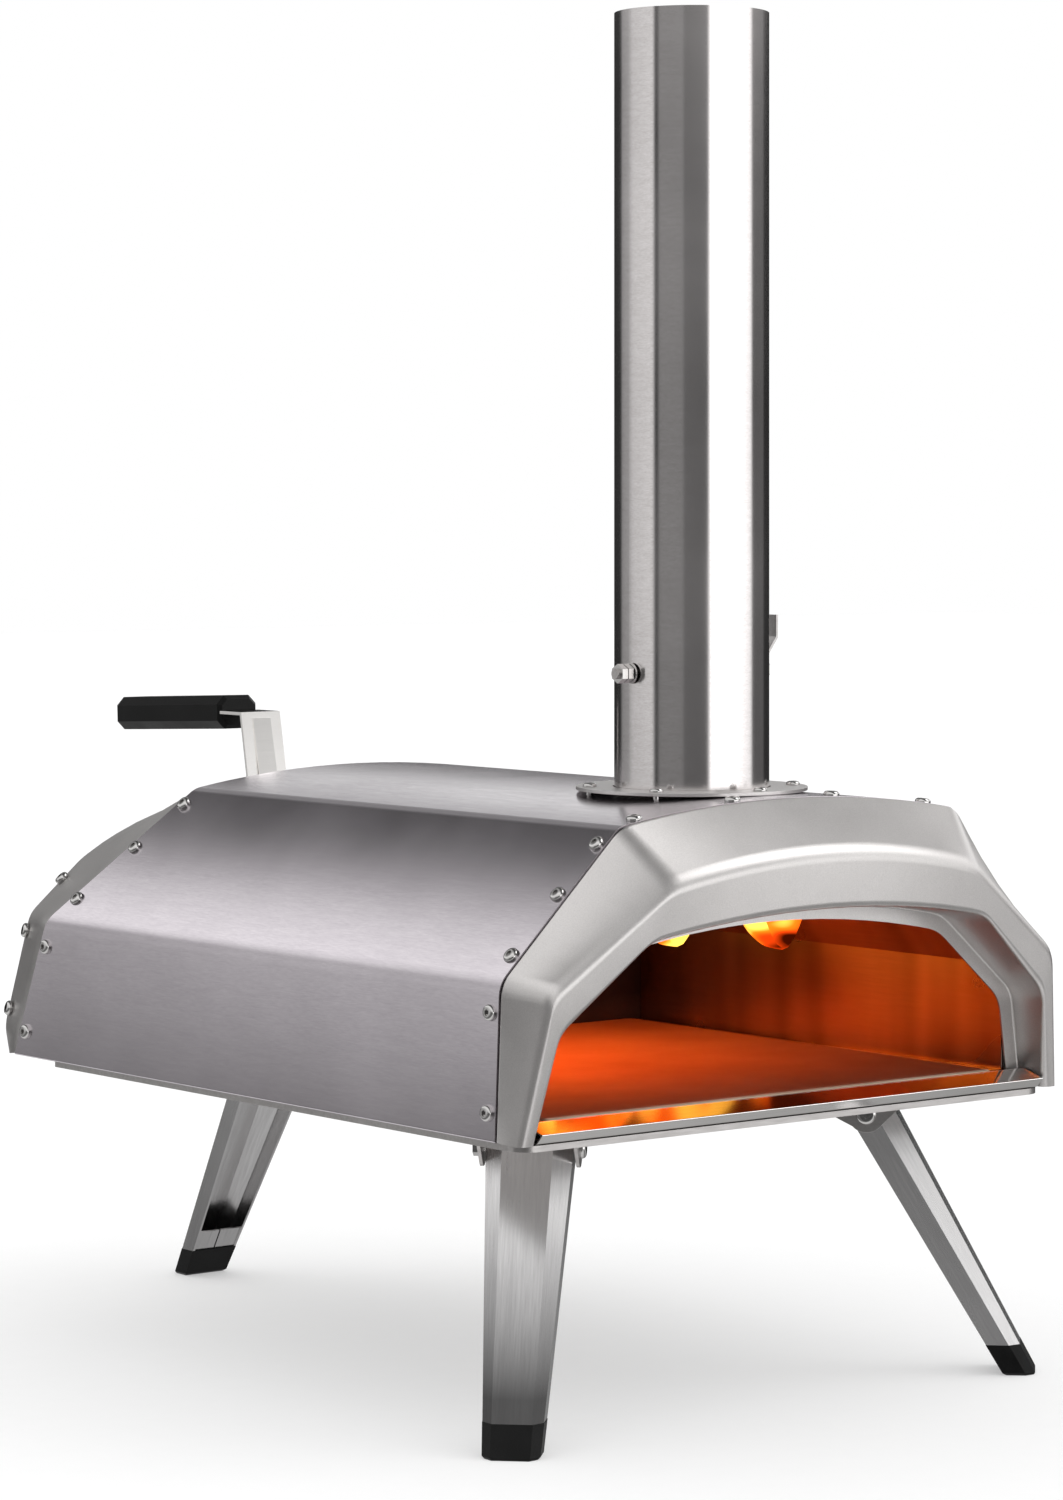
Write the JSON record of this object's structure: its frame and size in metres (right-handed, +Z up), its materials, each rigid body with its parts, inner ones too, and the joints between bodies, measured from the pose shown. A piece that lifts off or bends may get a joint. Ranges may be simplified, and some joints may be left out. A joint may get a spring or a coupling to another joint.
{
  "type": "wood fired pizza oven",
  "caption": "Portable outdoor pizza oven with a folded steel shell, baking stone, tall damped chimney, rear fuel hatch and folding legs.",
  "frame": {"origin": "on the ground, in the middle of the oven's overall width and length", "axes": "+Z up, +X to the right of someone facing the mouth, +Y towards the back"},
  "size_m": [0.4126, 0.7092, 0.8],
  "materials": {
    "brushed_shell": "fine brushed",
    "satin_frame": "bead blasted satin",
    "chimney_steel": "fine brushed",
    "plain_steel": "mill finish",
    "polished_steel": "polished",
    "inner_steel": "heat tinted",
    "leg_steel": "brushed lengthwise",
    "bright_fastener": "bright",
    "ceramic_fibre": "matte felt",
    "cordierite": "matte, fired",
    "black_polymer": "fine grain"
  },
  "bodies": {
    "oven_body": {"outer_shell": "brushed_shell", "front_frame": "satin_frame", "rear_cap": "satin_frame", "back_panel": "plain_steel", "base_tray": "plain_steel", "front_sill": "polished_steel", "inner_liner": "inner_steel", "insulation_blanket": "ceramic_fibre", "chamber_back_wall": "inner_steel", "stone_rails": "inner_steel", "fuel_box": "inner_steel", "flue_sleeve": "inner_steel", "chimney_collar": "satin_frame", "collar_screws": "bright_fastener", "leg_bracket_screws": "bright_fastener", "base_tray_screws": "bright_fastener", "shell_front_screws": "bright_fastener", "shell_rear_screws": "bright_fastener", "rear_cap_screws": "bright_fastener", "front_left_leg_bracket": "plain_steel", "front_left_leg_pin": "bright_fastener", "front_right_leg_bracket": "plain_steel", "front_right_leg_pin": "bright_fastener", "rear_leg_bracket": "plain_steel", "rear_leg_pin": "bright_fastener"},
    "chimney": {"chimney_tube": "chimney_steel"},
    "damper": {"damper_spindle": "plain_steel", "damper_plate": "plain_steel", "damper_plate_screws": "bright_fastener", "damper_lever": "plain_steel", "damper_nuts": "bright_fastener"},
    "hatch": {"fuel_hatch": "satin_frame", "hatch_handle_strap": "polished_steel", "hatch_handle_grip": "black_polymer", "strap_screws": "bright_fastener", "grip_screws": "bright_fastener"},
    "tray": {"fuel_tray": "plain_steel", "fuel_grate": "inner_steel", "tray_pull": "polished_steel", "tray_pull_screws": "bright_fastener"},
    "stone": {"baking_stone": "cordierite"},
    "left_leg": {"front_left_leg": "leg_steel", "front_left_foot_cap": "black_polymer"},
    "right_leg": {"front_right_leg": "leg_steel", "front_right_foot_cap": "black_polymer"},
    "back_leg": {"rear_leg": "leg_steel", "rear_foot_cap": "black_polymer"}
  },
  "joints": [
    {"name": "left_leg_fold", "type": "hinge", "parent": "oven_body", "child": "left_leg", "pos_m": [-0.1285, -0.24313, 0.155], "axis": [0.7071, -0.7071, 0], "range_deg": [0, 119.7]},
    {"name": "right_leg_fold", "type": "hinge", "parent": "oven_body", "child": "right_leg", "pos_m": [0.1285, -0.24313, 0.155], "axis": [0.7071, 0.7071, 0], "range_deg": [0, 110]},
    {"name": "rear_leg_fold", "type": "hinge", "parent": "oven_body", "child": "back_leg", "pos_m": [0, 0.18737, 0.155], "axis": [-1, 0, 0], "range_deg": [0, 119.7]},
    {"name": "chimney_lift", "type": "slide", "parent": "oven_body", "child": "chimney", "axis": [0, 0, 1], "range_m": [0, 0.06]},
    {"name": "damper_turn", "type": "hinge", "parent": "chimney", "child": "damper", "pos_m": [0, -0.23163, 0.418], "axis": [1, 0, 0], "range_deg": [0, 90]},
    {"name": "hatch_lift", "type": "slide", "parent": "oven_body", "child": "hatch", "axis": [0, 0, 1], "range_m": [0, 0.12]},
    {"name": "tray_slide", "type": "slide", "parent": "oven_body", "child": "tray", "axis": [0, 1, 0], "range_m": [0, 0.16]},
    {"name": "stone_lift", "type": "slide", "parent": "oven_body", "child": "stone", "axis": [0, 0, 1], "range_m": [0, 0.03]}
  ]
}
